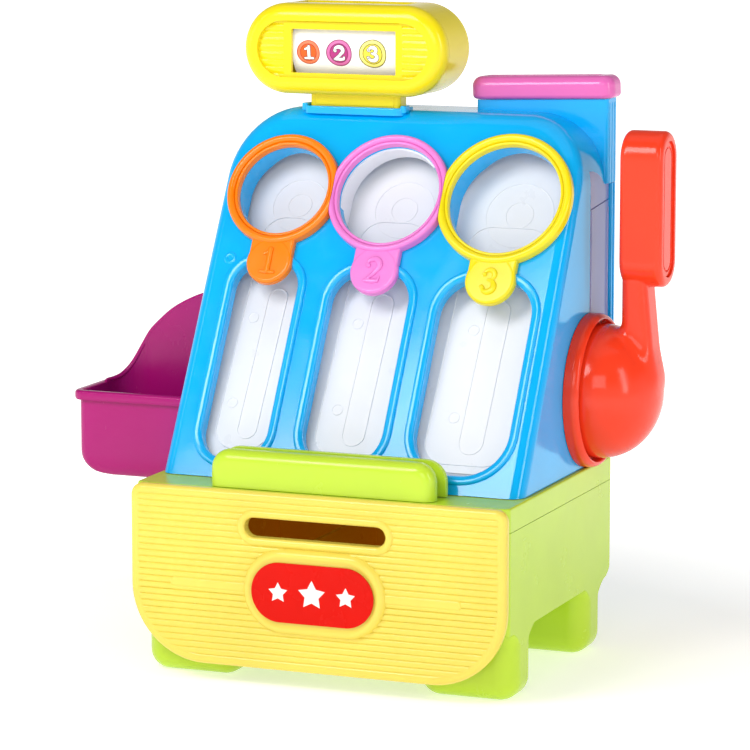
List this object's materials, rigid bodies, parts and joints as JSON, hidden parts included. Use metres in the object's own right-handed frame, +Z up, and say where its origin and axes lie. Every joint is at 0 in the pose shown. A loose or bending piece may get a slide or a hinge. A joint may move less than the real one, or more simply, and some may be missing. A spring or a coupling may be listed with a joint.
{
  "type": "toy cash register",
  "caption": "Toy cash register with a sliding drawer, round coin mouths over viewing windows, a side lever, a coin chute to a side bin and a turning sign drum.",
  "frame": {"origin": "centre of the object's bounding box at the floor, under the feet", "axes": "+X towards the lever's side, +Y towards the back, +Z up; the drawer opens along -Y"},
  "size_m": [0.3004, 0.1746, 0.3314],
  "materials": {
    "blue_plastic": "glossy moulded plastic",
    "green_plastic": "glossy moulded plastic",
    "drawer_yellow_plastic": "satin moulded plastic",
    "sign_yellow_plastic": "glossy moulded plastic",
    "orange_plastic": "glossy moulded plastic",
    "pink_plastic": "glossy moulded plastic",
    "magenta_plastic": "glossy moulded plastic",
    "red_plastic": "glossy moulded plastic",
    "white_plastic": "satin moulded plastic",
    "grey_plastic": "satin moulded plastic",
    "clear_plastic": "clear glossy plastic",
    "label_print": "printed vinyl sticker",
    "drum_print": "printed white plastic",
    "steel": "bright zinc-plated steel"
  },
  "bodies": {
    "housing": {"base_tub": "green_plastic", "base_deck": "green_plastic", "card_slot_block": "green_plastic", "card_slot_plate": "green_plastic", "mechanism_frame": "grey_plastic", "bell_post": "grey_plastic", "front_shell": "blue_plastic", "rear_cover": "blue_plastic", "coin_tower": "blue_plastic", "side_window": "clear_plastic", "coin_ring_1": "orange_plastic", "coin_ring_2": "pink_plastic", "slot_bezel": "pink_plastic", "coin_ring_3": "sign_yellow_plastic", "sign_bezel": "sign_yellow_plastic", "sign_back": "sign_yellow_plastic", "coin_back_panel": "white_plastic", "coin_ramp": "white_plastic", "coin_bin": "magenta_plastic", "lever_flange": "red_plastic", "latch_pin": "steel", "sign_axle": "steel", "bell_gong": "steel", "drawer_spring": "steel", "lever_return_spring": "steel", "deck_screw_1": "steel", "deck_screw_2": "steel", "deck_screw_3": "steel", "deck_screw_4": "steel", "cover_screw_1": "steel", "cover_screw_2": "steel", "cover_screw_3": "steel", "cover_screw_4": "steel", "sign_screw_1": "steel", "sign_screw_2": "steel"},
    "drawer": {"drawer_front": "drawer_yellow_plastic", "drawer_tray": "drawer_yellow_plastic", "drawer_label": "label_print"},
    "lever": {"lever_arm": "red_plastic", "lever_grip_cap": "red_plastic", "lever_shaft": "steel", "lever_cam": "grey_plastic"},
    "coin_gate": {"coin_gate": "white_plastic"},
    "latch": {"drawer_latch": "grey_plastic"},
    "link": {"latch_link": "grey_plastic"},
    "hammer": {"bell_hammer": "grey_plastic"},
    "sign_drum": {"sign_drum": "drum_print"}
  },
  "joints": [
    {"name": "drawer_slide", "type": "slide", "parent": "housing", "child": "drawer", "axis": [0, -1, 0], "range_m": [0, 0.105]},
    {"name": "lever_turn", "type": "hinge", "parent": "housing", "child": "lever", "pos_m": [0.1078, 0.045, 0.1383], "axis": [1, 0, 0], "range_deg": [0, 65], "stiffness_Nm_per_rad": 0.15, "springref_deg": -28.65},
    {"name": "gate_turn", "type": "hinge", "parent": "housing", "child": "coin_gate", "pos_m": [0.0108, -0.0297, 0.104], "axis": [1, 0, 0], "range_deg": [0, 19]},
    {"name": "latch_turn", "type": "hinge", "parent": "housing", "child": "latch", "pos_m": [0.0858, 0.0733, 0.083], "axis": [1, 0, 0], "range_deg": [-19, 0]},
    {"name": "link_lift", "type": "slide", "parent": "housing", "child": "link", "axis": [0, 0, 1], "range_m": [0, 0.011]},
    {"name": "hammer_turn", "type": "hinge", "parent": "housing", "child": "hammer", "pos_m": [0.0488, 0.0628, 0.104], "axis": [1, 0, 0], "range_deg": [0, 20]},
    {"name": "drum_spin", "type": "hinge", "parent": "housing", "child": "sign_drum", "pos_m": [-0.0242, 0.0593, 0.3085], "axis": [1, 0, 0], "continuous": true}
  ],
  "couplings": [
    {"joint": "gate_turn", "follows": "lever_turn", "ratio": 0.28},
    {"joint": "latch_turn", "follows": "lever_turn", "ratio": -0.28},
    {"joint": "link_lift", "follows": "lever_turn", "m_per_rad": 0.0095},
    {"joint": "hammer_turn", "follows": "lever_turn", "ratio": 0.295}
  ]
}
